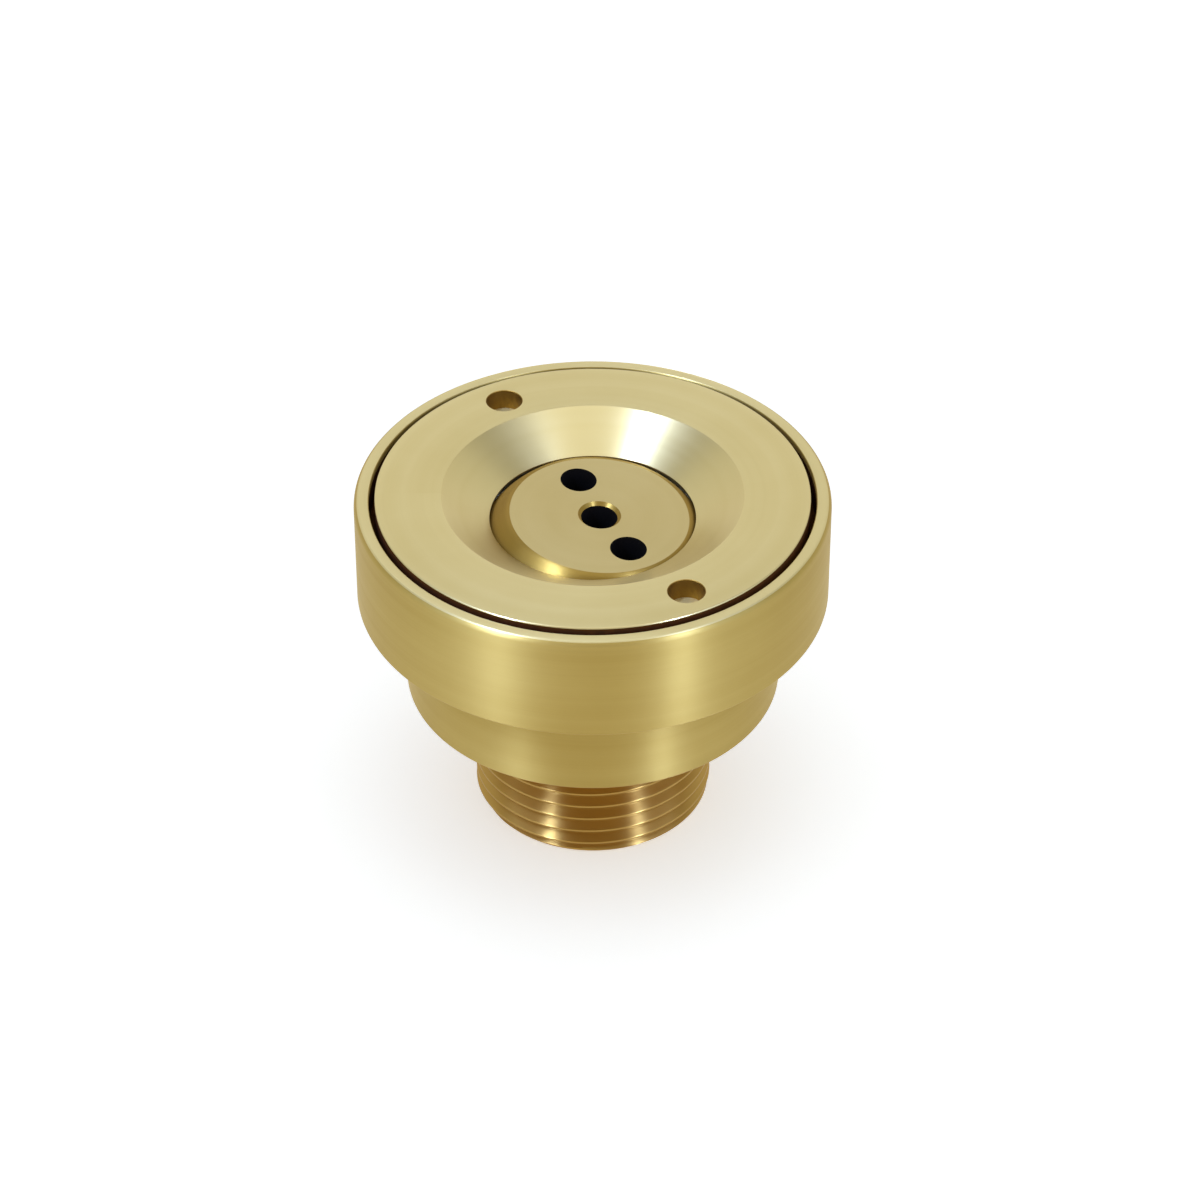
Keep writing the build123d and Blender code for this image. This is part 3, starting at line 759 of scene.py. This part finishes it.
# --- Stage ----------------------------------------------------------------------------------------
class HEAD_OT_stage(bpy.types.Operator):
    """Floor, lamps, surroundings and camera"""

    bl_idname = "head.stage"
    bl_label = "Studio"

    def execute(self, context):
        scene = context.scene
        studio = scene.head_studio
        bm = bmesh.new()
        bmesh.ops.create_circle(bm, cap_ends=True, radius=3.0, segments=96)
        floor = bpy.data.objects.new("floor", bpy.data.meshes.new("floor"))
        bm.to_mesh(floor.data)
        bm.free()
        scene.collection.objects.link(floor)
        material, tree, output = new_material("matt white table")
        lift = add_node(tree, "ShaderNodeMath", {0: seen_or_mirrored(tree), 1: studio.floor_lift},
                        operation="MULTIPLY")
        shader = add_node(tree, "ShaderNodeBsdfPrincipled", {
            "Base Color": linear("#F8FCFC"), "Roughness": 0.9, "Emission Color": (1, 1, 1, 1),
            "Emission Strength": lift.outputs[0]})
        tree.links.new(shader.outputs[0], output.inputs["Surface"])
        floor.data.materials.append(material)

        def lamp(name, azimuth, elevation, distance, width, height, power, roll=0.0):
            """A rectangular lamp that points at the head and that the camera doesn't see. Angles
            are in degrees, and an azimuth of -90 is in front."""
            flat = cos(radians(elevation)) * distance
            place = (flat * cos(radians(azimuth)), flat * sin(radians(azimuth)), sin(radians(elevation)) * distance)
            data = bpy.data.lights.new(name, "AREA")
            data.shape = "RECTANGLE"
            data.size, data.size_y, data.energy = width, height, power
            made = bpy.data.objects.new(name, data)
            scene.collection.objects.link(made)
            made.location = place
            aim = (Vector((0, 0, 0.03)) - made.location).to_track_quat("-Z", "Y")
            made.rotation_euler = (aim @ Quaternion((0, 0, 1), radians(roll))).to_euler()
            made.visible_camera = False
            return made

        # Each strip is rolled so that its streak stays sharp on every turned surface.
        left = lamp("left strip lamp", azimuth=-145, elevation=54, distance=1.0, width=0.06, height=0.8,
                    power=studio.left_power, roll=30)
        right = lamp("right strip lamp", azimuth=-48, elevation=34, distance=1.0, width=0.06, height=0.8,
                     power=studio.right_power, roll=-15)
        left_wide = lamp("left wide lamp", azimuth=-170, elevation=50, distance=1.0, width=0.5, height=0.8,
                         power=studio.wide_power)
        right_wide = lamp("right wide lamp", azimuth=-20, elevation=42, distance=1.0, width=0.5, height=0.8,
                          power=studio.wide_power)
        for glow in (left, right, left_wide, right_wide):
            glow.data.color = linear(studio.strip_colour)[:3]
            glow.visible_diffuse = False
        top = lamp("top lamp", azimuth=-90, elevation=90, distance=1.2, width=0.9, height=0.9,
                   power=studio.top_power)
        top.data.color = linear(studio.top_colour)[:3]

        world = bpy.data.worlds.new("white surroundings")
        scene.world = world
        world.use_nodes = True
        tree = world.node_tree
        tree.nodes.clear()
        way = add_node(tree, "ShaderNodeTexCoord").outputs["Generated"]
        split = add_node(tree, "ShaderNodeSeparateXYZ", {0: way}).outputs
        path = add_node(tree, "ShaderNodeLightPath").outputs
        mirrored = path["Is Glossy Ray"]
        seen = add_node(tree, "ShaderNodeMath", {0: path["Is Camera Ray"], 1: path["Is Transmission Ray"]},
                        operation="ADD", use_clamp=True)

        aside = add_node(tree, "ShaderNodeMath", {0: split["X"]}, operation="ABSOLUTE")

        # Parts of the surroundings, each as the direction that it changes along, the range that it
        # changes over, and its strength at both ends. A mirror sees a dim ceiling, a dim wall in
        # front of the head and cool sides. Matt surfaces get more light from near the horizon.
        parts = {
            "ceiling": (split["Z"], 0.63, 0.78, 1.0, 0.5),
            "front": (split["Y"], -0.9, -0.2, 0.86, 1.0),
            "sides": (aside.outputs[0], 0.4, 0.95, 0.0, 1.0),
            "horizon": (split["Z"], 0.0, 0.8, 1.5, 0.6),
        }
        shades = {}
        for name, (value, start, end, low, high) in parts.items():
            shades[name] = add_node(tree, "ShaderNodeMapRange", {
                "Value": value, "From Min": start, "From Max": end, "To Min": low, "To Max": high},
                interpolation_type="SMOOTHSTEP").outputs[0]
        room = add_node(tree, "ShaderNodeMath", {0: shades["ceiling"], 1: shades["front"]}, operation="MULTIPLY")
        matt = add_node(tree, "ShaderNodeMath", {0: shades["horizon"], 1: studio.ambient}, operation="MULTIPLY")
        lit = add_node(tree, "ShaderNodeMix", {0: mirrored, 2: matt.outputs[0], 3: room.outputs[0]})
        strength = add_node(tree, "ShaderNodeMix", {0: seen.outputs[0], 2: lit.outputs[0], 3: 1.0})
        cool = add_node(tree, "ShaderNodeMath", {0: shades["sides"], 1: mirrored}, operation="MULTIPLY")
        tint = add_node(tree, "ShaderNodeMix", {0: cool.outputs[0], 6: (1, 1, 1, 1), 7: linear(studio.side_light)},
                        data_type="RGBA")
        sky = add_node(tree, "ShaderNodeBackground", {"Color": tint.outputs[2], "Strength": strength.outputs[0]})
        out = tree.nodes.new("ShaderNodeOutputWorld")
        tree.links.new(sky.outputs[0], out.inputs["Surface"])

        camera = bpy.data.objects.new("camera", bpy.data.cameras.new("camera"))
        scene.collection.objects.link(camera)
        camera.location = (0, -studio.camera_back, studio.camera_up)
        camera.rotation_euler = (pi / 2 - studio.camera_dip, 0, studio.camera_yaw)
        camera.data.lens = studio.lens
        camera.data.sensor_width = 36.0
        camera.data.clip_start, camera.data.clip_end = 0.01, 20.0
        scene.camera = camera
        scene.view_settings.view_transform = "Standard"
        return {"FINISHED"}


# --- Panel and registration -----------------------------------------------------------------------
OPERATORS = (HEAD_OT_body, HEAD_OT_ring, HEAD_OT_ball, HEAD_OT_inner_parts, HEAD_OT_stage)


class HEAD_PT_panel(bpy.types.Panel):
    """Buttons for each group of pieces"""

    bl_label = "Outlet Head"
    bl_idname = "HEAD_PT_panel"
    bl_space_type = "VIEW_3D"
    bl_region_type = "UI"
    bl_category = "Outlet Head"

    def draw(self, context):
        for operator in OPERATORS:
            self.layout.operator(operator.bl_idname)
        for group in (context.scene.head_sizes, context.scene.head_finish, context.scene.head_studio):
            for name in group.bl_rna.properties.keys():
                if name not in {"rna_type", "name"}:
                    self.layout.prop(group, name)


CLASSES = (HeadSizes, HeadFinish, StudioSizes, *OPERATORS, HEAD_PT_panel)


def register():
    for each in CLASSES:
        bpy.utils.register_class(each)
    bpy.types.Scene.head_sizes = PointerProperty(type=HeadSizes)
    bpy.types.Scene.head_finish = PointerProperty(type=HeadFinish)
    bpy.types.Scene.head_studio = PointerProperty(type=StudioSizes)


def unregister():
    del bpy.types.Scene.head_studio
    del bpy.types.Scene.head_finish
    del bpy.types.Scene.head_sizes
    for each in reversed(CLASSES):
        bpy.utils.unregister_class(each)


def main():
    register()
    bpy.ops.head.body()
    bpy.ops.head.ring()
    bpy.ops.head.ball()
    bpy.ops.head.inner_parts()
    bpy.ops.head.stage()


if __name__ == "__main__":
    main()
